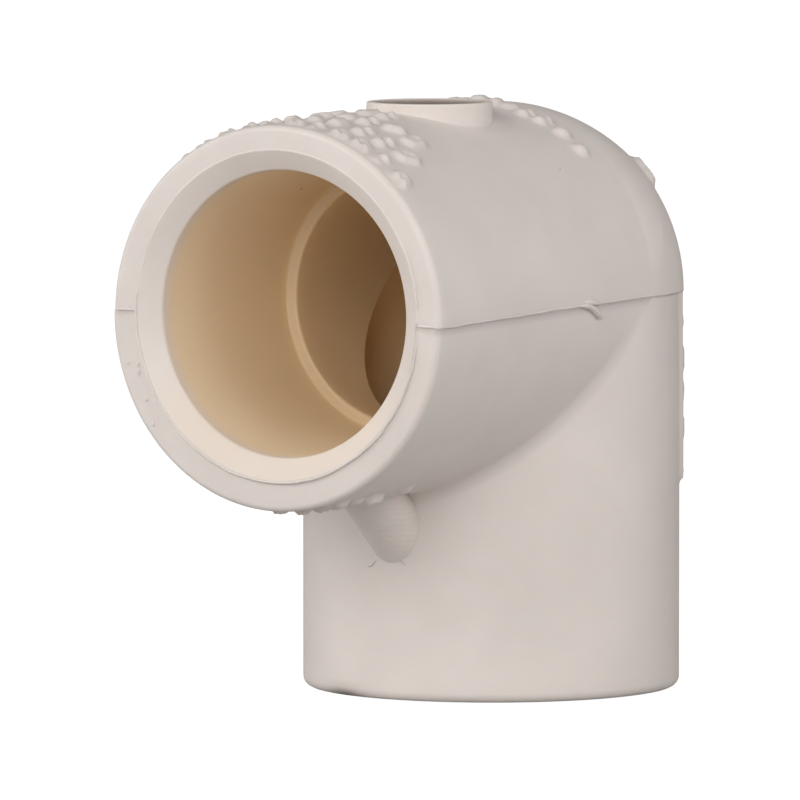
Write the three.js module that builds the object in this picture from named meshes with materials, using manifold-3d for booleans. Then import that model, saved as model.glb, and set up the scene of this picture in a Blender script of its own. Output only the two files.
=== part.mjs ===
// A 90 degree elbow for 20 mm pressure pipe, with a solvent-weld socket at each end. On the bench
// it is one injection moulding; here each moulded feature that has its own job is its own solid.
// Millimetres, +Z up. The front mouth looks along -Y and the bottom mouth along -Z. Every shape is
// made about the point where the two bore axes meet, and the whole is lifted to stand on z = 0.
import * as THREE from 'three';
import { mergeVertices } from 'three/addons/utils/BufferGeometryUtils.js';
import Module from 'manifold-3d';

const wasm = await Module();
wasm.setup();

// ---- Driving dimensions ----------------------------------------------------------------------
const BARREL_R = 13.3;        // outside radius of both barrels
const REACH = 28;             // from the crossing of the axes to either mouth
const SOCKET_DEPTH = 16;      // from the mouth to the step that stops the pipe
const MOUTH_R = 10.05;        // socket radius just inside the lead-in; the pipe is 20 mm across
const ROOT_R = 9.5;           // socket radius at the pipe stop, so the pipe wedges before it
const LEAD_R = 11.44;         // where the lead-in meets the flat land of the mouth
const LEAD_DEPTH = 1;         // length of the lead-in cone
const PASSAGE_R = 8.7;        // water way through the bend
const EDGE_R = 0.4;           // rounding of the mouths' outside edges
const EDGE_STEPS = 3;         // facets in that rounding
const HEEL_SWELL = 0.017;     // how much fuller than a ball the back of the bend is, at 45 degrees
const JOINT_AT = 15;          // each socket starts this far out, past the other barrel and the boss

const BOSS_X = 0.9;           // injection gate boss, a shallow cup on the crown of the bend
const BOSS_Y = -9.7;
const BOSS_R = 4.4;
const BOSS_WELL_R = 3.8;      // inside radius of the cup
const BOSS_RIM_Z = 13.75;
const BOSS_WELL_Z = 13.1;     // floor of the cup
const BOSS_SEAT_Z = 12;       // flat seat in the bend's wall that the boss stands on

const STRUT_R = 2.1;                // gusset strut across the inside corner
const STRUT_TOP = [-19.4, -13.3];   // y and z where its outer side leaves the front barrel
const STRUT_FOOT = [-13.3, -18.6];  // y and z where its outer side meets the lower barrel
const STRUT_SPARE = 6;              // extra length at each end, which the barrels trim off

const GAP = 0.3;              // clearance round a solid that is let into or trimmed to a neighbour
const SPARE = 1;              // how far a cutting tool runs past the face it cuts
const ROUND = 72;             // facets round a barrel or bore
const SMALL_ROUND = 40;       // facets round the boss and the strut

const STOP_AT = REACH - SOCKET_DEPTH;
const LEAD_AT = REACH - LEAD_DEPTH;

// ---- Helpers ---------------------------------------------------------------------------------
function toSolid(geometry) {
  const bare = geometry.clone();
  bare.deleteAttribute('normal');
  bare.deleteAttribute('uv');
  const welded = mergeVertices(bare, 1e-5);
  return new wasm.Manifold(new wasm.Mesh({
    numProp: 3,
    vertProperties: Float32Array.from(welded.attributes.position.array),
    triVerts: Uint32Array.from(welded.index.array),
  }));
}

function toGeometry(solid) {
  const mesh = solid.getMesh();
  const geometry = new THREE.BufferGeometry();
  geometry.setAttribute('position', new THREE.BufferAttribute(mesh.vertProperties, 3));
  geometry.setIndex(new THREE.BufferAttribute(mesh.triVerts, 1));
  geometry.computeVertexNormals();
  return geometry;
}

// A round rod along +Y whose radius goes from rFrom to rTo.
function rod(rFrom, rTo, from, to, sides = ROUND) {
  return new THREE.CylinderGeometry(rTo, rFrom, to - from, sides)
    .translate(0, (from + to) / 2, 0);
}

// Turns of something made along +Y, so that it runs out to one of the two mouths.
const TO_FRONT = new THREE.Euler(0, 0, Math.PI);
const TO_BOTTOM = new THREE.Euler(-Math.PI / 2, 0, 0);
const WAYS = [TO_FRONT, TO_BOTTOM];
function turned(geometry, way) {
  return geometry.clone().applyQuaternion(new THREE.Quaternion().setFromEuler(way));
}

// The socket's radius at a distance from the crossing: a slight taper that closes on the pipe.
function socketRadius(at) {
  return THREE.MathUtils.mapLinear(at, STOP_AT, LEAD_AT, ROOT_R, MOUTH_R);
}

// ---- Sockets ---------------------------------------------------------------------------------
// One closed profile turned about the bore axis: joint face, outside, rounded edge, land, lead-in
// cone and tapered bore.
function socketGeometry() {
  const profile = [
    new THREE.Vector2(socketRadius(JOINT_AT), JOINT_AT),
    new THREE.Vector2(BARREL_R, JOINT_AT),
  ];
  for (let i = 0; i <= EDGE_STEPS; i++) {
    const angle = (i / EDGE_STEPS) * (Math.PI / 2);
    profile.push(new THREE.Vector2(
      BARREL_R - EDGE_R * (1 - Math.cos(angle)),
      REACH - EDGE_R * (1 - Math.sin(angle)),
    ));
  }
  profile.push(
    new THREE.Vector2(LEAD_R, REACH),
    new THREE.Vector2(MOUTH_R, LEAD_AT),
    profile[0].clone(),
  );
  return new THREE.LatheGeometry(profile, ROUND);
}

// ---- Bend ------------------------------------------------------------------------------------
// The back of the bend: a ball as wide as the barrels that swells a little halfway round.
function heelGeometry() {
  const ball = new THREE.SphereGeometry(BARREL_R, ROUND, ROUND / 2).rotateZ(Math.PI / 2);
  const place = ball.attributes.position;
  const point = new THREE.Vector3();
  for (let i = 0; i < place.count; i++) {
    point.fromBufferAttribute(place, i);
    const halfway = (2 * Math.max(point.y, 0) * Math.max(point.z, 0)) / BARREL_R ** 2;
    point.multiplyScalar(1 + HEEL_SWELL * halfway ** 2);
    place.setXYZ(i, point.x, point.y, point.z);
  }
  return ball;
}

// The water way turns in one 45 degree mitre, as the two core pins of the mould leave it. It is a
// rod with three rings of points, which go to the front pipe stop, the mitre and the bottom one.
function passageGeometry() {
  const reach = STOP_AT + SPARE;
  const bore = new THREE.CylinderGeometry(PASSAGE_R, PASSAGE_R, 2, ROUND, 2);
  const place = bore.attributes.position;
  for (let i = 0; i < place.count; i++) {
    const ring = Math.round(place.getY(i));
    const across = place.getZ(i);
    const y = ring === 1 ? -reach : across;
    const z = ring === -1 ? -reach : across;
    place.setXYZ(i, -place.getX(i), y, z);
  }
  return bore;
}

function bendGeometry() {
  const barrel = rod(BARREL_R, BARREL_R, 0, JOINT_AT);
  const socketEnd = JOINT_AT + SPARE;
  const socket = rod(ROOT_R, socketRadius(socketEnd), STOP_AT, socketEnd);
  const seat = rod(BOSS_R + GAP, BOSS_R + GAP, BOSS_SEAT_Z, BOSS_RIM_Z + SPARE, SMALL_ROUND)
    .rotateX(Math.PI / 2)
    .translate(BOSS_X, BOSS_Y, 0);
  let bend = toSolid(heelGeometry());
  for (const way of WAYS) bend = bend.add(toSolid(turned(barrel, way)));
  for (const way of WAYS) bend = bend.subtract(toSolid(turned(socket, way)));
  return toGeometry(bend.subtract(toSolid(passageGeometry())).subtract(toSolid(seat)));
}

// ---- Gate boss -------------------------------------------------------------------------------
function bossGeometry() {
  const profile = [
    new THREE.Vector2(0, BOSS_SEAT_Z),
    new THREE.Vector2(BOSS_R, BOSS_SEAT_Z),
    new THREE.Vector2(BOSS_R, BOSS_RIM_Z),
    new THREE.Vector2(BOSS_WELL_R, BOSS_RIM_Z),
    new THREE.Vector2(BOSS_WELL_R, BOSS_WELL_Z),
    new THREE.Vector2(0, BOSS_WELL_Z),
  ];
  return new THREE.LatheGeometry(profile, SMALL_ROUND).rotateX(Math.PI / 2);
}

// ---- Corner strut ----------------------------------------------------------------------------
// A round rod across the inside corner, trimmed to both barrels.
function strutGeometry() {
  const top = new THREE.Vector3(0, ...STRUT_TOP);
  const foot = new THREE.Vector3(0, ...STRUT_FOOT);
  const along = foot.clone().sub(top);
  const length = along.length() + 2 * STRUT_SPARE;
  along.normalize();
  const inward = new THREE.Vector3(0, -along.z, along.y).multiplyScalar(STRUT_R);
  const middle = top.add(foot).multiplyScalar(0.5).add(inward);
  const turn = new THREE.Quaternion().setFromUnitVectors(new THREE.Vector3(0, 1, 0), along);
  const bar = new THREE.CylinderGeometry(STRUT_R, STRUT_R, length, SMALL_ROUND)
    .applyQuaternion(turn)
    .translate(middle.x, middle.y, middle.z);
  let strut = toSolid(bar);
  const trim = rod(BARREL_R + GAP, BARREL_R + GAP, -BARREL_R, REACH + SPARE);
  for (const way of WAYS) strut = strut.subtract(toSolid(turned(trim, way)));
  return toGeometry(strut);
}

// ---- The fitting -----------------------------------------------------------------------------
const fitting = new THREE.Group();
fitting.position.set(0, (REACH - BARREL_R) / 2, REACH);

function addFeature(name, geometry, colour) {
  const material = new THREE.MeshStandardMaterial({ color: colour, roughness: 0.42, metalness: 0 });
  const mesh = new THREE.Mesh(geometry, material);
  mesh.name = name;
  fitting.add(mesh);
  return mesh;
}

addFeature('front_socket', socketGeometry(), 0xe6dcd2).rotation.copy(TO_FRONT);
addFeature('bottom_socket', socketGeometry(), 0xe2d8ce).rotation.copy(TO_BOTTOM);
addFeature('elbow_bend', bendGeometry(), 0xded3c8);
addFeature('gate_boss', bossGeometry(), 0xe8ddd2).position.set(BOSS_X, BOSS_Y, 0);
addFeature('corner_strut', strutGeometry(), 0xd8cdc3);

export default fitting;
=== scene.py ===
# %% [markdown]
# # A glued elbow for 20 mm pressure pipe
#
# This lesson dresses the plain design model of a plastic pipe elbow. The real thing is one
# injection moulding in ivory unplasticised PVC: two sockets at a right angle, a rounded heel, a
# small cup on the crown where the plastic went in, and a short strut across the inside corner.
# The design model gives the sizes and the places. Here the wall is made again as one smooth skin,
# because the real plastic has no joins, and then it gets the small things that say "moulded":
# raised pads, a parting line, a little flash and a soft, slightly see-through finish.

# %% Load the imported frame
import math

import bmesh
import bpy
import numpy as np
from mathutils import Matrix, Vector


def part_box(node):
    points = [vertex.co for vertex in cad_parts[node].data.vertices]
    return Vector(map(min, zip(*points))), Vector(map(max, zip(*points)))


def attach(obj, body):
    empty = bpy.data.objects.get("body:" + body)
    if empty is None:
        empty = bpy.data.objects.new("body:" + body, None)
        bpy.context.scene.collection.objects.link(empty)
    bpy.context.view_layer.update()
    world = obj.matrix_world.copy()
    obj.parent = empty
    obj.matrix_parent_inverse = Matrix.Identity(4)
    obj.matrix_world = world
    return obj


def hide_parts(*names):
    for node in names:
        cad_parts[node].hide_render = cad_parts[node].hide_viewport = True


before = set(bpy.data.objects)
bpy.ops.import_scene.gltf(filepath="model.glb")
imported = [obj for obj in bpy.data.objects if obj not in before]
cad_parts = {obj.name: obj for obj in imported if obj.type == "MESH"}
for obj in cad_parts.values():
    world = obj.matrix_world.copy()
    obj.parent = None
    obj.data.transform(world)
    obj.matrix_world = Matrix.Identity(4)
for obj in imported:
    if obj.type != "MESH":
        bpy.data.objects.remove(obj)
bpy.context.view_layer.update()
print("nodes", sorted(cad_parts))

# %% [markdown]
# ## Sizes that come from the frame
#
# Everything is drawn in millimetres about the point where the two bore axes cross, and moved into
# the frame at the end. The barrels' radius, their reach and the crossing are read off the design
# model's boxes, so that they can't drift from it. The inside sizes are those of a 20 mm socket.

# %% Sizes and the crossing
MM = 0.001
front_low, front_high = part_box("front_socket")
lower_low, lower_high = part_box("bottom_socket")
crossing = Vector((
    (front_low.x + front_high.x) / 2,
    (lower_low.y + lower_high.y) / 2,
    (front_low.z + front_high.z) / 2,
))
BARREL_R = (front_high.x - front_low.x) / 2 / MM
REACH = (crossing.y - front_low.y) / MM
SOCKET_DEPTH = 16.0
STOP_AT = REACH - SOCKET_DEPTH
LEAD_R, LEAD_DEPTH = 11.32, 0.87
MOUTH_R, ROOT_R, PASSAGE_R, MITRE_R = 9.9, 9.5, 8.7, 8.95
print(f"barrel radius {BARREL_R:.2f} mm, reach {REACH:.2f} mm, crossing {tuple(crossing)}")


def to_frame(points):
    """Millimetres about the crossing, as metres in the frame."""
    return np.asarray(crossing) + np.asarray(points, float) * MM


def xyz(x, y, z):
    """Points or directions from three coordinates, each of them a number or a list of numbers."""
    return np.stack(np.broadcast_arrays(x, y, z), -1).astype(float)


def put(name, data):
    """A new object in the scene."""
    item = bpy.data.objects.new(name, data)
    bpy.context.collection.objects.link(item)
    return item


# %% [markdown]
# ## The camera
#
# Small goods like this are pictured with a long lens from well back, so that the two barrels keep
# their proportions. The lens follows from how wide a picture the fitting should sit in, and the
# camera looks at the middle of the whole, a little left of the crossing and below it.

# %% Camera
VIEW_AZIMUTH, VIEW_ELEVATION = math.radians(32.05), math.radians(4.42)
VIEW_DISTANCE = 60 * BARREL_R * MM
PICTURE_WIDTH = 4.2474 * BARREL_R * MM
SENSOR_WIDTH, FAR_CLIP = 36.0, 20
LOOK_RIGHT, LOOK_UP = -0.485 * BARREL_R * MM, -0.586 * BARREL_R * MM

back = Vector((
    math.sin(VIEW_AZIMUTH) * math.cos(VIEW_ELEVATION),
    -math.cos(VIEW_AZIMUTH) * math.cos(VIEW_ELEVATION),
    math.sin(VIEW_ELEVATION),
))
right = Vector((math.cos(VIEW_AZIMUTH), math.sin(VIEW_AZIMUTH), 0))
up = back.cross(right)
target = crossing + right * LOOK_RIGHT + up * LOOK_UP

camera_data = bpy.data.cameras.new("long_lens")
camera_data.sensor_width = SENSOR_WIDTH
camera_data.lens = SENSOR_WIDTH * VIEW_DISTANCE / PICTURE_WIDTH
camera_data.clip_end = FAR_CLIP
camera = put("long_lens", camera_data)
camera.location = target + back * VIEW_DISTANCE
camera.rotation_euler = back.to_track_quat("Z", "Y").to_euler()
bpy.context.scene.camera = camera
print(f"lens {camera_data.lens:.1f} mm from {VIEW_DISTANCE:.3f} m away")

# %% [markdown]
# ## The wall as one skin
#
# The wall could be joined from cylinders and a ball, but the joins would show as hard lines and
# the corner between the barrels would need a hand-made fillet. Instead, the whole wall, outside
# and inside, is drawn as one grid that closes on itself both ways. One direction goes round the
# bore, by an angle from the crown. The other goes along the wall: out of the bend to a mouth,
# over its edge, down the bore, round the inside corner and back out at the other mouth.
#
# For a given angle, the path over the bend lies in one flat slice. Above the side lines it rolls
# over the heel on an arc. Below them it turns the inside corner on a small fillet.

# %% Angles round the bore
PAD_REACH = math.radians(64)
UNDER_REACH = math.radians(28)
FINE, COARSE = 0.21 / BARREL_R, 0.62 / BARREL_R
SEAM_HALF = 0.05 / BARREL_R


def spaced(start, end, step):
    """Evenly spaced values from start up to, but not including, end."""
    count = max(1, round(abs(end - start) / step))
    return list(start + (end - start) * np.arange(count) / count)


half_turn = (
    spaced(0, PAD_REACH, FINE)
    + spaced(PAD_REACH, math.pi / 2 - SEAM_HALF, COARSE)
    + spaced(math.pi / 2 - SEAM_HALF, math.pi / 2 + SEAM_HALF, SEAM_HALF)
    + spaced(math.pi / 2 + SEAM_HALF, math.pi - UNDER_REACH, COARSE)
    + spaced(math.pi - UNDER_REACH, math.pi, FINE)
)
angles = np.array(half_turn + [math.pi] + [-a for a in reversed(half_turn[1:])])
side, lean = np.sin(angles), np.cos(angles)
print(len(angles), "columns round the bore")

# %% [markdown]
# ## Rows along the wall
#
# A row is one ring of points with the direction that faces out of the plastic there. Each kind of
# stretch has its own small function: on the front barrel, on the lower barrel, over the bend and
# on the mitre inside it. The back of the bend stands a little proud, as a text insert makes it.

# %% Rings
HEEL_PROUD, HEEL_FROM, HEEL_RISE = 0.28, 0.12, math.radians(30)
FADE_LEAN = 0.25  # the heel and the corner's fillet both come in over this much lean
CORNER_FILLET = 1.0
fillet = CORNER_FILLET * np.clip(-lean / FADE_LEAN, 0, 1)
SAG = np.array([-0.22, 0.0, -0.43])
SAG_POWER = 1.2
PARTING_DROP, PARTING_TILT = 0.02, 0.17


def sag(at, share=1.0):
    """The outside isn't quite on the bore's axis: it moves off it towards the front mouth."""
    return (share * (np.clip(at, 0, None) / REACH) ** SAG_POWER)[..., None] * SAG


def parting_height(side_share, at):
    """How high the mould parts: level round the bend, and tilted a little towards the front mouth."""
    drop = PARTING_DROP + PARTING_TILT * side_share
    return -drop * (np.clip(at, 0, None) / REACH) ** SAG_POWER


def front_ring(radius, at):
    """The columns next to the side lines are turned to follow the parting line."""
    turned = angles - side * np.abs(side) * parting_height(side, at) / BARREL_R
    out = xyz(np.sin(turned), 0, np.cos(turned))
    return out * radius + xyz(0, -at, 0), out


def lower_ring(radius, at):
    return xyz(radius * side, radius * lean, -at), xyz(side, lean, 0)


def bend_ring(share):
    """Over the bend: share is 0 at the front barrel and 1 at the lower one."""
    turn = share * math.pi / 2
    out = xyz(side, lean * math.sin(turn), lean * math.cos(turn))
    proud = HEEL_PROUD * np.clip((lean - HEEL_FROM) / FADE_LEAN, 0, 1) * min(1, turn / HEEL_RISE)
    heel = out * (BARREL_R + proud)[:, None]
    pull = fillet[:, None] * xyz(0, math.sin(turn) - 1, math.cos(turn) - 1)
    corner = BARREL_R * xyz(side, lean, lean) + pull
    return np.where(lean[:, None] >= 0, heel, corner), out


def mitre_ring(radius):
    return radius * xyz(side, lean, lean), xyz(side, lean, lean)


def bend_end():
    """How far from the crossing each slice starts to turn."""
    return np.where(lean >= 0, 0, fillet - BARREL_R * lean)


# %% [markdown]
# The mouth is a turned profile: outside edge, flat land, lead-in cone, tapered bore and pipe stop.
# Moulds have no perfectly sharp edges, so each corner of the profile gets its own small radius.


# %% The mouth's profile
def rounded(corners, radii, steps):
    """A path through corners, as (radius, distance) pairs, with each inner corner as an arc."""
    path = [np.array(corners[0], float)]
    for before, corner, after, radius in zip(corners, corners[1:], corners[2:], radii, strict=False):
        corner = np.array(corner, float)
        one, two = np.array(before) - corner, np.array(after) - corner
        one, two = one / np.linalg.norm(one), two / np.linalg.norm(two)
        half = math.acos(float(np.clip(one @ two, -1, 1))) / 2
        middle = corner + (one + two) / np.linalg.norm(one + two) * radius / math.sin(half)
        start, end = corner + one * radius / math.tan(half), corner + two * radius / math.tan(half)
        first = math.atan2(*(start - middle)[::-1])
        sweep = math.atan2(*(end - middle)[::-1]) - first
        sweep = (sweep + math.pi) % (2 * math.pi) - math.pi
        for k in range(steps + 1):
            angle = first + sweep * k / steps
            path.append(middle + radius * np.array([math.cos(angle), math.sin(angle)]))
    path.append(np.array(corners[-1], float))
    return path


LIP_WIDE, LIP_TALL = 0.16, 0.07  # the land's inside edge stands up in a small lip
PROFILE_FROM, ROWS_END = REACH - 1.2, REACH - 1.4
PAST_STOP = 1.0


def mouth_profile(edge_r):
    """From the outside, over the land and down the bore; edge_r rounds the outside edge."""
    corners = [
        (BARREL_R, PROFILE_FROM),
        (BARREL_R, REACH),
        (LEAD_R + LIP_WIDE, REACH),
        (LEAD_R + LIP_WIDE / 2, REACH + LIP_TALL),
        (LEAD_R, REACH + LIP_TALL / 2),
        (MOUTH_R, REACH - LEAD_DEPTH),
        (ROOT_R, STOP_AT),
        (PASSAGE_R, STOP_AT),
        (PASSAGE_R, STOP_AT - PAST_STOP),
    ]
    return rounded(corners, [edge_r, 0.04, 0.03, 0.04, 0.3, 0.15, 0.2], steps=5)


mouth, lower_mouth = mouth_profile(0.45), mouth_profile(0.7)
print(len(mouth), "rings over each mouth")

# %% [markdown]
# The outside rows are close together where the raised pads are, and wider elsewhere. Between
# PLAIN_FROM and the bend each slice has its own length, so the rows are shared out evenly along it.

# %% Stack the rows
PLAIN_FROM = 15.0
FINE_ROW, BACK_ROW, MIDDLE_ROW = 0.2, 0.25, 0.55
BEND_ROWS = 60
FIRST_BELOW = 0.05  # the first row under the bend is close to it, to keep the crease crisp

rows = []
for at in spaced(ROWS_END, PLAIN_FROM, FINE_ROW):
    rows.append(front_ring(BARREL_R, at))
for t in spaced(0, 1, BACK_ROW / PLAIN_FROM):
    rows.append(front_ring(BARREL_R, PLAIN_FROM + t * (bend_end() - PLAIN_FROM)))
for share in np.linspace(0, 1, BEND_ROWS):
    rows.append(bend_ring(share))
bend_last = len(rows)
for t in [FIRST_BELOW / PLAIN_FROM] + spaced(0, 1, BACK_ROW / PLAIN_FROM)[1:]:
    rows.append(lower_ring(BARREL_R, bend_end() + t * (PLAIN_FROM - bend_end())))
for at in spaced(PLAIN_FROM, ROWS_END, MIDDLE_ROW):
    rows.append(lower_ring(BARREL_R, at))
outer_rows = len(rows)
TOWARDS_MITRE = (0.5, 0.8, 0.95, 0.99)


def between(one, other, share):
    """A ring part of the way from one ring to another."""
    return one[0] + share * (other[0] - one[0]), one[1]


inside_bottom = [lower_ring(r, at) for r, at in lower_mouth]
inside_front = [front_ring(r, at) for r, at in mouth]
mitre = mitre_ring(MITRE_R)
inside_bottom += [between(inside_bottom[-1], mitre, share) for share in TOWARDS_MITRE]
inside_front += [between(inside_front[-1], mitre, share) for share in TOWARDS_MITRE]
rows += inside_bottom + [mitre] + inside_front[::-1]

points = np.stack([p for p, _ in rows])
facing = np.stack([n for _, n in rows])
facing /= np.linalg.norm(facing, axis=2, keepdims=True)
print("grid", points.shape, "faces", points.shape[0] * points.shape[1])


# %% [markdown]
# ## Raised pads
#
# The mould has marks cut into it, which come out as low rounded pads. Real ones carry a maker's
# text; these are plain pills and dots with a dimple, in rows that run round the barrel, so that
# they catch the light in the same way and say nothing. A pad is raised in the skin itself, which
# gives it the soft root that moulded marks have.

# %% A pad on the skin
lift = np.zeros(points.shape[:2])
SOFT_EDGE, PAD_SKIRT = 0.55, 0.1
DIMPLE_R = 0.28  # as a share of the pad's width
PAD_SLAB = 2     # points further than this from the pad's own plane belong to another side


def smooth(x):
    x = np.clip(x, 0, 1)
    return x * x * (3 - 2 * x)


def raise_pad(centre, across, along, length, width, turn=0.0, height=0.32, dimple=0.6):
    """A pill on the outside, at a point with two directions that lie in the surface there."""
    near = points[:outer_rows] - centre
    u, v = near @ across, near @ along
    u, v = u * math.cos(turn) + v * math.sin(turn), v * math.cos(turn) - u * math.sin(turn)
    past_end = np.maximum(np.abs(u) - max(length - width, 0) / 2, 0)
    from_spine = np.hypot(past_end, v)
    pad = np.sqrt(smooth((width / 2 + PAD_SKIRT - from_spine) / SOFT_EDGE))
    pad -= dimple * smooth((width * DIMPLE_R - from_spine) / (width * DIMPLE_R))
    close = np.abs(near @ np.cross(across, along)) < PAD_SLAB
    raised = np.where(close, height * pad, 0)
    lift[:outer_rows] = np.maximum(lift[:outer_rows], raised)


def place_on_front(angle, at):
    s, c = math.sin(angle), math.cos(angle)
    return np.array([BARREL_R * s, -at, BARREL_R * c]), np.array([c, 0, -s]), np.array([0, 1, 0])


def place_on_lower(angle, at):
    s, c = math.sin(angle), math.cos(angle)
    return np.array([BARREL_R * s, BARREL_R * c, -at]), np.array([c, -s, 0]), np.array([0, 0, 1])


def place_on_heel(angle, turn):
    s, c = math.sin(angle), math.cos(angle)
    out = np.array([s, c * math.sin(turn), c * math.cos(turn)])
    along = np.array([0, math.cos(turn), -math.sin(turn)])
    return BARREL_R * out, np.cross(along, out), along


# %% Rows of pads
chance = np.random.default_rng(20)
WHOLE, PLAIN = 0.35, 0.55  # a throw under WHOLE makes a long pill, under PLAIN a dot, else a pair


def pad_row(place, at, start, end, pitch=1.9, length=2.3, width=1.4, height=0.42, full=0.92):
    """Pads side by side round the barrel, from one angle to another, in degrees."""
    count = max(1, round(math.radians(end - start) * BARREL_R / pitch))
    for k in range(count):
        step = k + 0.5 + chance.uniform(-0.15, 0.15)
        angle = math.radians(start + (end - start) * step / count)
        kind, shift, turn = chance.uniform(), chance.uniform(-0.2, 0.2), chance.uniform(-0.5, 0.5)
        centre, across, along = place(angle, at)
        centre = centre + along * shift
        if kind > full:
            continue
        if kind < WHOLE:
            raise_pad(centre, along, across, length, width, turn, height)
        elif kind < PLAIN:
            raise_pad(centre, along, across, length * 0.8, width * 0.8, 2 * turn, height, dimple=0)
        else:
            back_end, front_end = centre - along * length * 0.27, centre + along * length * 0.29
            raise_pad(back_end, along, across, length * 0.5, width * 0.8, turn, height, dimple=0)
            raise_pad(front_end, along, across, length * 0.4, width * 0.65, 0, height, dimple=0)
    return count


made = 0
for at, start, end in ((26.5, -58, 46), (23.3, -54, 39), (20.0, -56, 39), (16.7, -40, 13)):
    made += pad_row(place_on_front, at, start, end)
made += pad_row(place_on_front, 2.1, -44, 43, 1.7, 1.7, 1.35)
made += pad_row(place_on_heel, math.radians(38), -44, 25, 2.2, 1.9, 1.3, 0.36)
for at in (2.2, 4.8, 7.4, 10.0, 12.3):
    made += pad_row(place_on_lower, at, -56, 56, 2.0, 2.0, 1.3, 0.17, 0.85)
for at in (26.2, 24.2):
    made += pad_row(place_on_front, at, 158, 185, 1.5, 1.4, 1.0, 0.42)

# %% Lumps and the back panel
# Bigger lumps: the trimmed stubs behind the cup, and two blocks beside the strut.
for angle, at, length, width, height in (
    (2, 2.4, 1.8, 1.4, 0.6), (7, 2.0, 1.5, 1.2, 0.5), (-6, 2.8, 1.6, 1.2, 0.5),
    (160, 22.6, 2.0, 1.0, 0.55), (157, 19.5, 1.3, 1.1, 0.25),
):
    centre, across, along = place_on_front(math.radians(angle), at)
    raise_pad(centre, along, across, length, width, 0, height, 0)
# The end of the heel's row stands askew.
heel_place = place_on_heel(math.radians(40), math.radians(36.8))
raise_pad(*heel_place, length=2.4, width=1.2, turn=math.radians(45), height=0.5, dimple=0.3)

# The marks on the back of the lower barrel stand on a low panel of their own.
PANEL_HALF, PANEL_TALL, PANEL_END = math.radians(63), 0.28, 13.6
PANEL_EDGE = 0.4
back_points = points[bend_last:outer_rows]
inside_panel = (
    smooth((PANEL_HALF - np.abs(angles)) * BARREL_R / PANEL_EDGE)
    * smooth((PANEL_END + back_points[:, :, 2]) / PANEL_EDGE)
)
lift[bend_last:outer_rows] += PANEL_TALL * inside_panel
print(made, "places for pads, highest", round(float(lift.max()), 2), "mm")

# %% [markdown]
# ## Mould mismatch
#
# No two mould halves close perfectly. Here the lower half sits a tenth of a millimetre off to one
# side, which makes the step along the parting line, and the core pin isn't quite in the middle of
# the front barrel, so its wall is thicker below than above. Both are small shifts of the grid's
# points. The step stays whole under the front barrel, and fades out down the lower one.

# %% Shift the lower half
HALF_SHIFT = np.array([-0.11, 0.07, 0.0])
points += facing * lift[:, :, None]
land_rows = sum(radius > LEAD_R + 0.05 for radius, _ in mouth)
moved = np.zeros(points.shape[0])
moved[:outer_rows] = 1
moved[-land_rows:] = 1
under = (np.abs(angles) > math.pi / 2 + 1e-6)[None, :]
FRONT_FADE, DOWN_FADE, SAG_FADE = 3, 10, 5  # millimetres over which each shift comes in or dies away
on_front = smooth((-points[:, :, 1] - BARREL_R) / FRONT_FADE)
near_parting = smooth(1 + points[:, :, 2] / DOWN_FADE)
row_number = np.arange(points.shape[0])[:, None]
on_lower = (row_number >= bend_last) & (row_number < outer_rows)
share = np.where(on_lower, near_parting, np.where(under, np.maximum(on_front, near_parting), 0))
points += (share * moved[:, None])[:, :, None] * HALF_SHIFT


# %% Sag
def sag_inside(radius, at):
    """The land moves with the outside, the lead-in half as much, and the bore less the deeper it is."""
    if radius > LEAD_R + 0.3:
        return 1
    if radius > LEAD_R - 0.2:
        return 0.5
    return 0.35 * max(0, at - STOP_AT) / SOCKET_DEPTH


# The sag fades out below the inside corner, and inside the front socket.
below_corner = smooth(1 + (points[:, :, 2] + bend_end()[None, :]) / SAG_FADE)
sag_share = np.where(on_lower, below_corner, 1.0) * (row_number < outer_rows)
inside_share = [sag_inside(radius, at) for radius, at in mouth]
sag_share[-len(mouth):] = np.array(inside_share[::-1])[:, None]
points += sag(-points[:, :, 1], sag_share)

# %% [markdown]
# ## What the material needs to know
#
# Each point carries two numbers for the material: how deep in the bore it is, which sets the painted bounce
# light, and how much dust and painted shade it has.
# Depth is a share of the reach, and the mouth's land is at nothing.

# %% Depth in the bore
mouth_depth = [0 if radius > LEAD_R - 0.3 else (REACH - at) / REACH for radius, at in mouth]
way_in = [mouth_depth[-1] + share * (1 - mouth_depth[-1]) for share in TOWARDS_MITRE]
front_depth = np.array([1, *way_in[::-1], *mouth_depth[::-1]])
# The lower socket stands on the table, so less light comes up it: its values run on past one, into a darker
# tan of painted shade.
LOWER_DARKER = 1.5
lower_depth = LOWER_DARKER * np.array(mouth_depth + way_in)
row_depth = np.concatenate([np.zeros(outer_rows), lower_depth, front_depth])
bore_depth = np.repeat(row_depth[:, None], len(angles), 1)
# The low side of the lead-in is painted with the warm light it catches from inside the bore.
OUTSIDE, MIDDLE = 2 * BARREL_R, 0  # stand-in radii that no test below picks up
mouth_radius = [radius for radius, _ in mouth]
row_radius = np.array(
    [OUTSIDE] * outer_rows
    + mouth_radius
    + [MIDDLE] * (2 * len(TOWARDS_MITRE) + 1)
    + mouth_radius[::-1]
)
lead_in = (row_radius < LEAD_R + 0.01) & (row_radius > ROOT_R + 0.2)
WARM_DEPTH = 1.15
warm = WARM_DEPTH / REACH * smooth(-1.6 * lean - 0.1)
bore_depth = np.where(lead_in[:, None], np.maximum(bore_depth, warm[None, :]), bore_depth)
# The pipe stop is painted a little darker and greyer.
on_stop = (row_radius > PASSAGE_R + 0.02) & (row_radius < ROOT_R - 0.02)


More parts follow.
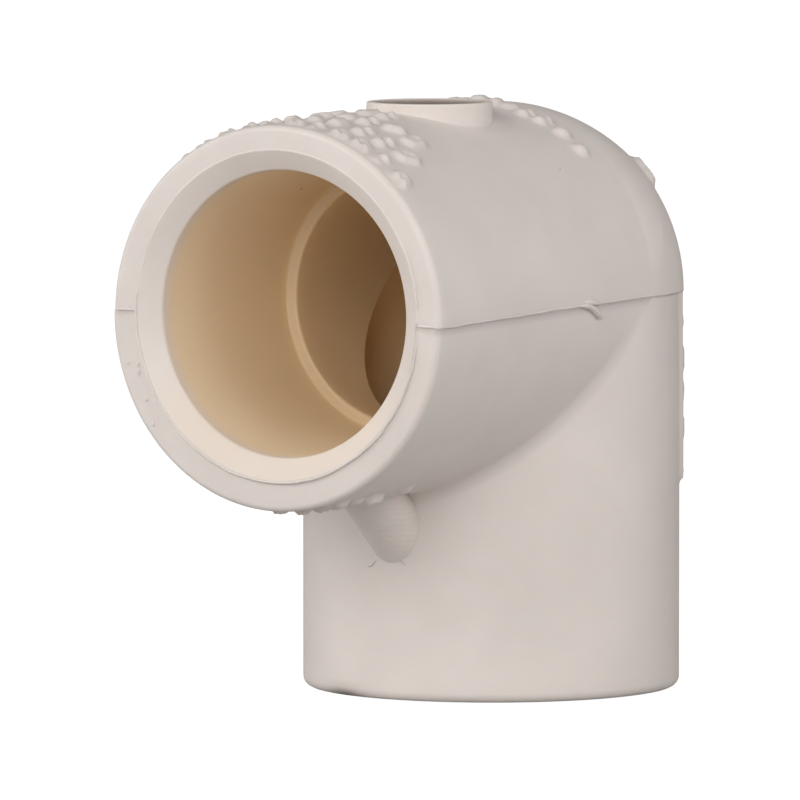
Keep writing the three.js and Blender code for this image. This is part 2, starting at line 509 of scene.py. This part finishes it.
# %% The elbow's wall
def grid_mesh(name, grid):
    """A mesh from a grid of points that closes on itself both ways."""
    down, around = grid.shape[:2]
    index = np.arange(down * around).reshape(down, around)
    quads = np.stack([
        index,
        np.roll(index, -1, 1),
        np.roll(np.roll(index, -1, 1), -1, 0),
        np.roll(index, -1, 0),
    ], 2).reshape(-1, 4)
    mesh = bpy.data.meshes.new(name)
    mesh.from_pydata(to_frame(grid.reshape(-1, 3)).tolist(), [], quads.tolist())
    mesh.validate()
    mesh.shade_smooth()
    return put(name, mesh)


def set_values(item, name, values):
    """One number for each point of a mesh, for its material to read."""
    layer = item.data.attributes.new(name, "FLOAT", "POINT")
    layer.data.foreach_set("value", np.asarray(values, float).ravel())


elbow = grid_mesh("elbow_wall", points)
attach(elbow, "root")
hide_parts("front_socket", "bottom_socket", "elbow_bend")
set_values(elbow, "bore_depth", bore_depth)
# A short stretch of the bottom edge is painted darker.
DARK_PATCH_ANGLE = math.radians(-160)
DARK_PATCH_AT = np.array([BARREL_R * math.sin(DARK_PATCH_ANGLE), BARREL_R * math.cos(DARK_PATCH_ANGLE), -REACH])
DARK_PATCH_FALLOFF = np.array([0.25, 0.25, 3.0])
STOP_DARKENING = 0.2
dark_patch = np.exp(-((points - DARK_PATCH_AT) ** 2 @ DARK_PATCH_FALLOFF))
set_values(elbow, "dust_and_shade", dark_patch * (row_depth == 0)[:, None] + STOP_DARKENING * on_stop[:, None])
wall = bmesh.new()
wall.from_mesh(elbow.data)
print("volume", round(wall.calc_volume(signed=True) * 1e9), "mm3")
wall.free()


# %% [markdown]
# ## The gate boss
#
# The plastic was injected through the crown, and the mould leaves a low round cup there. It is a
# turned shape that sits on a barrel, so its foot can't be flat: each point of the foot takes its
# height from the barrel below it. The last tenth of a millimetre flares out on a fillet, so that
# the cup seems to grow from the wall.

# %% Fillet and ring helpers
def flare(height, radius):
    """How far a wall has spread sideways at some height over the surface it stands on."""
    under = np.clip(radius - height, 0, radius)
    return radius - np.sqrt(radius ** 2 - under ** 2)


def ring_mesh(name, rings):
    """A tube from rings of points, with its two end rings closed by flat faces."""
    rings = np.asarray(rings)
    count, around = rings.shape[:2]
    index = np.arange(count * around).reshape(count, around)
    quads = np.stack([
        index[:-1],
        np.roll(index[:-1], -1, 1),
        np.roll(index[1:], -1, 1),
        index[1:],
    ], 2).reshape(-1, 4).tolist()
    quads += [index[0][::-1].tolist(), index[-1].tolist()]
    mesh = bpy.data.meshes.new(name)
    mesh.from_pydata(to_frame(rings.reshape(-1, 3)).tolist(), [], quads)
    mesh.validate()
    shape = bmesh.new()
    shape.from_mesh(mesh)
    bmesh.ops.recalc_face_normals(shape, faces=shape.faces)
    shape.to_mesh(mesh)
    shape.free()
    mesh.shade_smooth()
    item = put(name, mesh)
    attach(item, "root")
    return item


# %% Gate boss
boss_low, boss_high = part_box("gate_boss")
BOSS_R = (boss_high.x - boss_low.x) / 2 / MM
BOSS_RIM = (boss_high.z - crossing.z) / MM
boss_x = ((boss_low.x + boss_high.x) / 2 - crossing.x) / MM
boss_y = ((boss_low.y + boss_high.y) / 2 - crossing.y) / MM
WELL_R, WELL_DEPTH = BOSS_R - 0.5, 0.4
BOSS_FILLET, RIM_ROUND = 0.1, 0.09

round_boss = np.linspace(0, 2 * np.pi, 96, endpoint=False)


def boss_ring(radius, height):
    x = boss_x + radius * np.cos(round_boss)
    y = boss_y + radius * np.sin(round_boss)
    return xyz(x, y, height)


def boss_foot(height):
    """A ring that keeps a height over the barrel it stands on."""
    radius = BOSS_R + flare(height, BOSS_FILLET)
    x = boss_x + radius * np.cos(round_boss)
    y = boss_y + radius * np.sin(round_boss)
    return xyz(x, y, np.sqrt(BARREL_R ** 2 - x ** 2) + height) + sag(-y)


rings = [boss_foot(-0.15)]
rings += [boss_foot(h) for h in np.linspace(0, BOSS_FILLET, 6)]
top_of_foot = rings[-1]
wall_top = boss_ring(BOSS_R, BOSS_RIM - RIM_ROUND)
rings += [top_of_foot + (wall_top - top_of_foot) * t for t in np.linspace(0.2, 1, 5)]
profile = rounded(
    [(BOSS_R, BOSS_RIM - 2 * RIM_ROUND), (BOSS_R, BOSS_RIM), (WELL_R, BOSS_RIM),
     (WELL_R - 0.1, BOSS_RIM - WELL_DEPTH), (0.5, BOSS_RIM - WELL_DEPTH)],
    [RIM_ROUND, RIM_ROUND, 0.2],
    steps=4,
)
rings += [boss_ring(radius, height) for radius, height in profile[2:]]
boss = ring_mesh("gate_boss_cup", rings)
# Painted shade darkens the cup's recess: all of its floor, and some of its inside wall.
WELL_SHADE_FROM = 0.12
well_shade = np.zeros((len(rings), len(round_boss)))
for row, (radius, height) in enumerate(profile[2:], len(rings) - len(profile) + 2):
    if radius < WELL_R + 0.01:
        well_shade[row] = smooth((BOSS_RIM - height) / WELL_SHADE_FROM)
set_values(boss, "dust_and_shade", well_shade)
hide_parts("gate_boss")
print(f"boss {2 * BOSS_R:.1f} mm across, rim {BOSS_RIM - BARREL_R:.2f} mm over the crown")

# %% [markdown]
# ## The corner strut
#
# A slanted round rod stiffens the inside corner. Its lines run parallel until they meet a barrel,
# so each line's two ends are found by arithmetic. At a barrel the rod spreads on the same kind of
# fillet as the boss, only smaller, and runs a little way into the wall.

# %% Corner strut
STRUT_R = 2.1
STRUT_TOP = np.array([0, -19.1, -BARREL_R])
STRUT_FOOT = np.array([0, -BARREL_R, -18.3])
STRUT_FILLET = 0.04


def off_wall(p):
    """How far points below the bend stand off the nearer barrel."""
    return np.minimum(np.hypot(p[..., 0], p[..., 2]), np.hypot(p[..., 0], p[..., 1])) - BARREL_R


along = (STRUT_FOOT - STRUT_TOP) / np.linalg.norm(STRUT_FOOT - STRUT_TOP)
outward = np.array([0, along[2], -along[1]])
round_strut = np.linspace(0, 2 * np.pi, 64, endpoint=False)
spoke = np.outer(np.cos(round_strut), outward) + np.outer(np.sin(round_strut), [1.0, 0, 0])
core = (STRUT_TOP + STRUT_FOOT) / 2 - outward * STRUT_R
lines = core + STRUT_R * spoke
drop = np.sqrt(BARREL_R ** 2 - lines[:, 0] ** 2)
to_top = (-drop - lines[:, 2]) / along[2]
to_foot = (-drop - lines[:, 1]) / along[1]
middle = (to_top + to_foot) / 2
to_top, to_foot = np.minimum(to_top, middle), np.maximum(to_foot, middle)
rings = []
INTO_WALL = 0.06
evenly = 0.5 - 0.5 * np.cos(np.linspace(0, np.pi, 40))
for share in np.concatenate([[-INTO_WALL], evenly, [1 + INTO_WALL]]):
    at = lines + np.outer(to_top + share * (to_foot - to_top), along)
    rings.append(at + spoke * flare(off_wall(at), STRUT_FILLET)[:, None])
strut = ring_mesh("corner_strut_rod", rings)
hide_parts("corner_strut")
set_values(strut, "tool_marks", np.ones(len(strut.data.vertices)))
print(f"strut {2 * STRUT_R:.1f} mm thick, {np.linalg.norm(STRUT_FOOT - STRUT_TOP):.1f} mm long outside")

# %% [markdown]
# ## Parting line and flash
#
# The mould opens along the level plane through the front bore, and a thread of plastic creeps into
# the gap. It is drawn as thin beads laid on the skin, each tapering away at its ends. One stretch
# is torn and has curled down. Plastic also creeps round the core pin, which leaves a ragged bead
# on part of the land's inside edge.

# %% Bead
def wander(count, step, size, seed):
    """A smooth random wobble: count values, changing over about step of them."""
    knots = np.random.default_rng(seed).normal(0, size, count // step + 3)
    return np.interp(np.arange(count) / step, np.arange(len(knots)), knots)


def bead(name, path, out, half_width, height, taper=0.08, sides=10):
    """A thin closed thread of plastic along a path on the skin. out faces away from the plastic."""
    forward = np.gradient(path, axis=0)
    forward /= np.linalg.norm(forward, axis=1, keepdims=True)
    across = np.cross(forward, out)
    across /= np.linalg.norm(across, axis=1, keepdims=True)
    share = np.linspace(0, 1, len(path))
    full = np.sqrt(np.clip(np.minimum(share, 1 - share) / taper, 0.0004, 1))
    rings = []
    for turn in np.linspace(0, 2 * np.pi, sides, endpoint=False):
        rings.append(
            path
            + across * (half_width * full * math.cos(turn))[:, None]
            + out * (height * full * math.sin(turn))[:, None]
        )
    return ring_mesh(name, np.stack(rings, 1))


def level_path(start, end, step=0.1):
    """Along the parting line: distances from the right side's mouth, round the back, to the left."""
    bend_length = math.pi * BARREL_R
    at = np.arange(start, end, step)
    turn = np.clip((at - REACH) / BARREL_R, 0, math.pi)
    before, after = np.clip(REACH - at, 0, None), np.clip(at - REACH - bend_length, 0, None)
    y = BARREL_R * np.sin(turn) - before - after
    z = parting_height(np.cos(turn), -y)
    return xyz(BARREL_R * np.cos(turn), y, z) + sag(-y), xyz(np.cos(turn), np.sin(turn), 0)


# %% Parting line
ROUND_BACK = 2 * REACH + math.pi * BARREL_R
TEAR_AT = REACH - 8.6
beads = []
for name, start, end, seed in (
    ("parting_bead_right", 0.3, TEAR_AT, 3),
    ("parting_bead_back", TEAR_AT + 1.3, ROUND_BACK - 0.3, 5),
):
    path, out = level_path(start, end)
    count = len(path)
    path[:, 2] += 0.05 + wander(count, 16, 0.02, seed)
    height = 0.05 + np.abs(wander(count, 9, 0.02, seed + 1))
    beads.append(bead(name, path, out, 0.07, height, 0.03))
print("parting line", len(beads), "beads")

# %% Torn flash
# The torn stretch leaves the line as a flat tab, and a thread of it curls down.
path, out = level_path(TEAR_AT - 1.2, TEAR_AT + 1.6, 0.06)
share = np.linspace(0, 1, len(path))
path[:, 2] += 0.06 - 1.15 * share ** 2.4
path[:, 0] = np.sqrt(BARREL_R ** 2 - path[:, 2] ** 2) + 0.08 * share
beads.append(bead("torn_flash_curl", path, out, 0.17 + 0.06 * share, 0.19 + 0.1 * share, 0.22))
path, out = level_path(TEAR_AT - 0.6, TEAR_AT + 1.6, 0.06)
share = np.linspace(0, 1, len(path))
path[:, 2] += 0.28 - 0.3 * share ** 2
beads.append(bead("torn_flash_tab", path, out, 0.22, 0.14 + 0.05 * share, 0.35))

# %% Insert line and dust threads
# A text insert in the mould leaves a hair line down the right of the heel.
turn = np.radians(np.linspace(52, 89, 60))
lean_out = np.radians(np.linspace(71, 79, 60))
out = xyz(np.sin(lean_out), np.cos(lean_out) * np.sin(turn), np.cos(lean_out) * np.cos(turn))
beads.append(bead("insert_line", BARREL_R * out, out, 0.12, 0.012, 0.3))

# Two thin threads of dust are caught at the strut's foot, each from one angle and place to another.
THREAD_DUST = 0.5
for name, angle_start, angle_end, at_start, at_end, bow in (
    ("dust_thread_right", 179, 175, 17.8, 18.5, 0.3),
    ("dust_thread_left", 189, 185.6, 18.7, 18.2, -0.7),
):
    share = np.linspace(0, 1, 24)
    turn = np.radians(angle_start + (angle_end - angle_start) * share)
    level = -at_start + (at_start - at_end) * share + bow * share * (1 - share)
    out = xyz(np.sin(turn), np.cos(turn), 0)
    thread = bead(name, BARREL_R * out + xyz(0, 0, level), out, 0.035, 0.05, 0.3)
    set_values(thread, "dust_and_shade", THREAD_DUST * np.ones(len(thread.data.vertices)))
    beads.append(thread)

# %% Lines and creep on the land
OUT_OF_FRONT = np.array([0.0, -1.0, 0.0])
LAND_SAG, CREEP_SAG = 0.8 * SAG, 0.5 * SAG
# Where the mould's halves meet on the flat land, a short line runs in from each side.
for side_name, sign in (("right", 1), ("left", -1)):
    at = np.linspace(BARREL_R - 0.3, LEAD_R + 0.05, 18)
    level = parting_height(sign, REACH) * at / BARREL_R
    path = xyz(sign * at, -REACH, level + 0.04 + wander(len(at), 6, 0.02, 8)) + LAND_SAG
    beads.append(bead(f"land_line_{side_name}", path, OUT_OF_FRONT, 0.1, 0.07, 0.15))

# Creep round the core pin: a ragged ridge on the land's inside edge, with a kink where it tore.
for name, start, end, seed, tall in (
    ("core_pin_flash_upper", 172, 212, 12, 0.13),
    ("core_pin_flash_lower", 211, 352, 15, 0.13),
    ("core_pin_flash_right", 4, 26, 18, 0.09),
):
    turn = np.radians(np.arange(start, end, 0.4))
    count = len(turn)
    radius = LEAD_R + 0.13 + wander(count, 11, 0.02, seed)
    path = xyz(radius * np.cos(turn), -REACH - 0.03, radius * np.sin(turn)) + CREEP_SAG
    wide = 0.09 + np.abs(wander(count, 5, 0.02, seed + 1))
    height = tall + np.abs(wander(count, 6, 0.02, seed + 2))
    beads.append(bead(name, path, OUT_OF_FRONT, wide, height, 0.06))

# %% Crumbs on the land
CRUMBS = 5
for k in range(CRUMBS):
    angle = math.radians(chance.uniform(196, 250))
    radius = chance.uniform(LEAD_R + 0.4, BARREL_R - 0.6)
    reach_out = chance.uniform(0.25, 0.6)
    share = np.linspace(-0.5, 0.5, 12)
    x = radius * np.cos(angle) + reach_out * share * np.cos(angle + 1.2)
    z = radius * np.sin(angle) + reach_out * share * np.sin(angle + 1.2)
    path = xyz(x, -REACH, z) + LAND_SAG
    beads.append(bead(f"land_crumb_{k + 1}", path, OUT_OF_FRONT, 0.09, 0.045, 0.5))
print(len(beads), "beads in all")

# %% [markdown]
# ## Ivory uPVC
#
# The plastic is unplasticised PVC with a little chalk and white pigment, moulded against steel. To
# the eye it is a pale pinkish ivory with a broad soft shine, and light sinks a fraction of a
# millimetre into it, which rounds off the small marks. Inside the bore light bounces from wall to
# wall and turns tan, more than a render's few bounces make it, so the wall carries a value for
# how deep in the bore it is and the colour follows that value.

# %% Colour and node helpers
def linear(hex_colour):
    """sRGB hex, such as "e6dcd2", as linear RGBA."""
    parts = [int(hex_colour[i:i + 2], 16) / 255 for i in (0, 2, 4)]
    return (*[p / 12.92 if p <= 0.04045 else ((p + 0.055) / 1.055) ** 2.4 for p in parts], 1)


def add_node(tree, kind, settings=None, **inputs):
    """A node with its settings and inputs; an input that is a socket is linked."""
    node = tree.nodes.new(kind)
    for key, value in (settings or {}).items():
        setattr(node, key, value)
    for key, value in inputs.items():
        socket = node.inputs[int(key[2:]) if key.startswith("in") else key.replace("_", " ")]
        if isinstance(value, bpy.types.NodeSocket):
            tree.links.new(value, socket)
        else:
            socket.default_value = value
    return node


# %% Ivory uPVC
IVORY, IVORY_PALE = "e6dcd5", "ebe1da"
# The bore's tans are painted bounce light; the darkest is painted shade in the lower socket.
BOUNCE_TAN_BRIGHT, BOUNCE_TAN_DEEP, BORE_PAINTED_SHADE = "fae3c2", "e6cba3", "d3ab7c"
# This brown serves real dust, and painted shade in the gate cup, and darkens the bottom edge's patch and
# the pipe stop.
SPECK_BROWN, DUST_AND_SHADE = "8d7c70", "84776d"
CLOUD_MM = 7.0       # soft clouds of paler plastic where the melt flowed together
GRAIN_MM = 0.35      # the mould's fine spark-eroded finish, drawn coarser than its 0.05 mm
SPECK_CELL_MM = 6.5  # one chance of a dust speck in each cell this wide
SPECK_R_MM = 0.1
BURNT_SPECKS = ((41.8, 10.4, 0.16), (46.3, 6.4, 0.12))  # angle, distance out, size: charred grains
TOOL_MARK_MM = 0.4   # cutter marks on the strut, which was milled into the mould by hand
WORN_MM = 2.2        # patches where the mould is worn smoother
RIPPLE_MM = 3.5      # slow waves left by shrinking
BAND_PERIOD = 0.314  # a wave texture repeats after this much at scale 1
GRAIN_TALL, RIPPLE_TALL, TOOL_MARK_TALL = 0.003 * MM, 0.03 * MM, 0.02 * MM
# These depths place the painted bounce light down the bore, and the painted shade of the lower socket.
TAN_FROM, TAN_FULL = 0.7, 2.4     # millimetres down the bore where it turns tan
DEEP_FROM, DEEP_FULL = 4, 18      # and where the tan gets deeper
DARK_FROM, DARK_FULL = 1.02, 1.4  # shares of the reach that only the lower socket gets to
ROUGH_LOW, ROUGH_HIGH = 0.4, 0.54


def ivory_and_painted_bounce(tree, mm):
    """Clouded ivory outside, and down the bore a tan of painted bounce light that deepens, with painted
    shade in the lower socket.
    """
    clouds = add_node(
        tree, "ShaderNodeTexNoise", Vector=mm, Scale=1 / CLOUD_MM, Detail=3.0, Roughness=0.55
    ).outputs["Fac"]
    cloud = add_node(tree, "ShaderNodeMapRange", Value=clouds, From_Min=0.35, From_Max=0.65)
    outside = add_node(
        tree, "ShaderNodeMix", {"data_type": "RGBA"},
        Factor=cloud.outputs[0], in6=linear(IVORY), in7=linear(IVORY_PALE),
    ).outputs[2]
    depth = add_node(tree, "ShaderNodeAttribute", {"attribute_name": "bore_depth"}).outputs["Fac"]
    deep = add_node(
        tree, "ShaderNodeMapRange", Value=depth, From_Min=DEEP_FROM / REACH, From_Max=DEEP_FULL / REACH
    ).outputs[0]
    tan = add_node(
        tree, "ShaderNodeMix", {"data_type": "RGBA"},
        Factor=deep, in6=linear(BOUNCE_TAN_BRIGHT), in7=linear(BOUNCE_TAN_DEEP),
    ).outputs[2]
    below = add_node(
        tree, "ShaderNodeMapRange", Value=depth, From_Min=DARK_FROM, From_Max=DARK_FULL
    ).outputs[0]
    tan = add_node(
        tree, "ShaderNodeMix", {"data_type": "RGBA"}, Factor=below, in6=tan, in7=linear(BORE_PAINTED_SHADE)
    ).outputs[2]
    in_bore = add_node(
        tree, "ShaderNodeMapRange", Value=depth, From_Min=TAN_FROM / REACH, From_Max=TAN_FULL / REACH
    ).outputs[0]
    return add_node(
        tree, "ShaderNodeMix", {"data_type": "RGBA"}, Factor=in_bore, in6=outside, in7=tan
    ).outputs[2]


def specks(tree, mm):
    """Scattered dust specks, and two charred grains in the bore, as a share of brown."""
    cells = add_node(tree, "ShaderNodeTexVoronoi", Vector=mm, Scale=1 / SPECK_CELL_MM)
    near = add_node(
        tree, "ShaderNodeMapRange", Value=cells.outputs["Distance"],
        From_Min=SPECK_R_MM / SPECK_CELL_MM, From_Max=2 * SPECK_R_MM / SPECK_CELL_MM,
        To_Min=0.8, To_Max=0.0,
    ).outputs[0]
    chosen = add_node(
        tree, "ShaderNodeMath", {"operation": "GREATER_THAN"}, in0=cells.outputs["Color"], in1=0.5
    ).outputs[0]
    speck = add_node(tree, "ShaderNodeMath", {"operation": "MULTIPLY"}, in0=near, in1=chosen).outputs[0]
    for angle, at, size in BURNT_SPECKS:
        spot = to_frame(place_on_front(math.radians(angle), at)[0]) / MM
        away = add_node(
            tree, "ShaderNodeVectorMath", {"operation": "DISTANCE"}, in0=mm, in1=tuple(spot)
        ).outputs["Value"]
        burnt = add_node(
            tree, "ShaderNodeMapRange", Value=away,
            From_Min=size / 2, From_Max=size, To_Min=1.0, To_Max=0.0,
        ).outputs[0]
        speck = add_node(
            tree, "ShaderNodeMath", {"operation": "MAXIMUM"}, in0=speck, in1=burnt
        ).outputs[0]
    return speck


def relief(tree, mm):
    """The mould's grain, slow ripples, and cutter marks where a piece carries tool_marks."""
    grain = add_node(tree, "ShaderNodeTexNoise", Vector=mm, Scale=1 / GRAIN_MM, Detail=2.0).outputs["Fac"]
    fine = add_node(
        tree, "ShaderNodeBump", Height=grain, Strength=1.0, Distance=GRAIN_TALL
    ).outputs[0]
    ripple = add_node(tree, "ShaderNodeTexNoise", Vector=mm, Scale=1 / RIPPLE_MM, Detail=1.0).outputs["Fac"]
    bumped = add_node(
        tree, "ShaderNodeBump", Height=ripple, Strength=1.0, Distance=RIPPLE_TALL, Normal=fine
    ).outputs[0]
    cut = add_node(
        tree, "ShaderNodeTexWave", {"bands_direction": "Z"},
        Vector=mm, Scale=BAND_PERIOD / TOOL_MARK_MM, Distortion=4.0, Detail=3.0, Detail_Scale=1.5,
    ).outputs["Fac"]
    marked = add_node(tree, "ShaderNodeAttribute", {"attribute_name": "tool_marks"}).outputs["Fac"]
    cutting = add_node(tree, "ShaderNodeMath", {"operation": "MULTIPLY"}, in0=cut, in1=marked).outputs[0]
    return add_node(
        tree, "ShaderNodeBump", Height=cutting, Strength=1.0, Distance=TOOL_MARK_TALL, Normal=bumped
    ).outputs[0]


# %% The material itself
def ivory_upvc(name, see_through):
    material = bpy.data.materials.new(name)
    material.use_nodes = True
    tree = material.node_tree
    shader = tree.nodes["Principled BSDF"]
    place = add_node(tree, "ShaderNodeTexCoord").outputs["Object"]
    mm = add_node(
        tree, "ShaderNodeVectorMath", {"operation": "SCALE"}, in0=place, Scale=1 / MM
    ).outputs[0]

    # Real dust and painted shade are both mixed in here from one value.
    dust_and_shade = add_node(tree, "ShaderNodeAttribute", {"attribute_name": "dust_and_shade"}).outputs["Fac"]
    dusted_and_shaded = add_node(
        tree, "ShaderNodeMix", {"data_type": "RGBA"},
        Factor=dust_and_shade, in6=ivory_and_painted_bounce(tree, mm), in7=linear(DUST_AND_SHADE),
    ).outputs[2]
    coloured = add_node(
        tree, "ShaderNodeMix", {"data_type": "RGBA"},
        Factor=specks(tree, mm), in6=dusted_and_shaded, in7=linear(SPECK_BROWN),
    ).outputs[2]
    tree.links.new(coloured, shader.inputs["Base Color"])

    worn = add_node(tree, "ShaderNodeTexNoise", Vector=mm, Scale=1 / WORN_MM, Detail=4.0).outputs["Fac"]
    rough = add_node(
        tree, "ShaderNodeMapRange", Value=worn,
        From_Min=0.3, From_Max=0.7, To_Min=ROUGH_LOW, To_Max=ROUGH_HIGH,
    ).outputs[0]
    tree.links.new(rough, shader.inputs["Roughness"])
    tree.links.new(relief(tree, mm), shader.inputs["Normal"])

    shader.inputs["IOR"].default_value = 1.53
    shader.inputs["Subsurface Weight"].default_value = see_through
    shader.inputs["Subsurface Radius"].default_value = (1.0, 0.7, 0.5)
    shader.inputs["Subsurface Scale"].default_value = 0.7 * MM
    return material


# The flash is too thin to hold the light that sinks into the wall, so it gets none of that.
upvc = ivory_upvc("ivory_upvc", 0.25)
thin_upvc = ivory_upvc("ivory_upvc_flash", 0.0)
for piece in (elbow, boss, strut):
    piece.data.materials.append(upvc)
for piece in beads:
    piece.data.materials.append(thin_upvc)
print("materials", upvc.name, thin_upvc.name)

# %% [markdown]
# ## A light tent on a white table
#
# Small goods are pictured inside a white tent: big soft panels to the left, in front and to the
# right, hardly higher than the object, and a white sheet under it. Each panel's place is how far
# it stands round from the camera and how high it is. The sheet and the backdrop look white to the
# camera, but throw less light back at the object, so its underside and corner stay darker.

# %% World
world = bpy.data.worlds.new("light_tent")
world.use_nodes = True
bpy.context.scene.world = world
bpy.context.scene.view_settings.view_transform = "Standard"
AMBIENT = 0.2


def seen_by_camera(tree):
    return add_node(tree, "ShaderNodeLightPath").outputs["Is Camera Ray"]


tent = world.node_tree
ambient = tent.nodes["Background"]
ambient.inputs["Color"].default_value = (1, 1, 1, 1)
ambient.inputs["Strength"].default_value = AMBIENT
backdrop = add_node(tent, "ShaderNodeBackground", Color=(1, 1, 1, 1), Strength=1.0)
sky = add_node(
    tent, "ShaderNodeMixShader",
    in0=seen_by_camera(tent), in1=ambient.outputs[0], in2=backdrop.outputs[0],
)
tent.links.new(sky.outputs[0], tent.nodes["World Output"].inputs["Surface"])

# %% Panels
PANEL_AWAY = 1.0


def soft_panel(name, turn, rise, size, watts):
    """A round panel; turn is in degrees round from the camera, to the right; rise is in degrees."""
    round_from_x = VIEW_AZIMUTH + math.radians(turn)
    towards = Vector((
        math.sin(round_from_x) * math.cos(math.radians(rise)),
        -math.cos(round_from_x) * math.cos(math.radians(rise)),
        math.sin(math.radians(rise)),
    ))
    data = bpy.data.lights.new(name, "AREA")
    data.shape = "DISK"
    data.size = size
    data.energy = watts
    lamp = put(name, data)
    lamp.location = crossing + towards * PANEL_AWAY
    lamp.rotation_euler = towards.to_track_quat("Z", "Y").to_euler()


soft_panel("left_panel", -100, 15, 0.5, 2.05)
soft_panel("left_front_panel", -60, 35, 0.5, 2.0)
soft_panel("front_panel", -15, 15, 0.6, 4.0)
soft_panel("right_front_panel", 45, 25, 0.6, 2.4)
soft_panel("right_panel", 90, 15, 0.5, 1.5)

# %% Table
FLOOR_HALF = 3.0
FLOOR_LEVEL = -(LIP_TALL + 0.01) * MM  # just under the lip that the elbow stands on
SHEET_GREY, SHEET_GLOW, GLOW_SHARE = "bcbcbc", 1.4, 0.72
floor_corners = [
    (x * FLOOR_HALF, y * FLOOR_HALF, FLOOR_LEVEL) for x, y in ((-1, -1), (1, -1), (1, 1), (-1, 1))
]
floor_mesh = bpy.data.meshes.new("floor")
floor_mesh.from_pydata(floor_corners, [], [(0, 1, 2, 3)])
floor = put("floor", floor_mesh)

sheet = bpy.data.materials.new("white_sheet")
sheet.use_nodes = True
cloth = sheet.node_tree
cloth.nodes.remove(cloth.nodes["Principled BSDF"])
matte = add_node(cloth, "ShaderNodeBsdfDiffuse", Color=linear(SHEET_GREY))
glow = add_node(cloth, "ShaderNodeEmission", Color=(1, 1, 1, 1), Strength=SHEET_GLOW)
lit = add_node(
    cloth, "ShaderNodeMath", {"operation": "MULTIPLY"}, in0=seen_by_camera(cloth), in1=GLOW_SHARE
)
both = add_node(
    cloth, "ShaderNodeMixShader", in0=lit.outputs[0], in1=matte.outputs[0], in2=glow.outputs[0]
)
cloth.links.new(both.outputs[0], cloth.nodes["Material Output"].inputs["Surface"])
floor.data.materials.append(sheet)
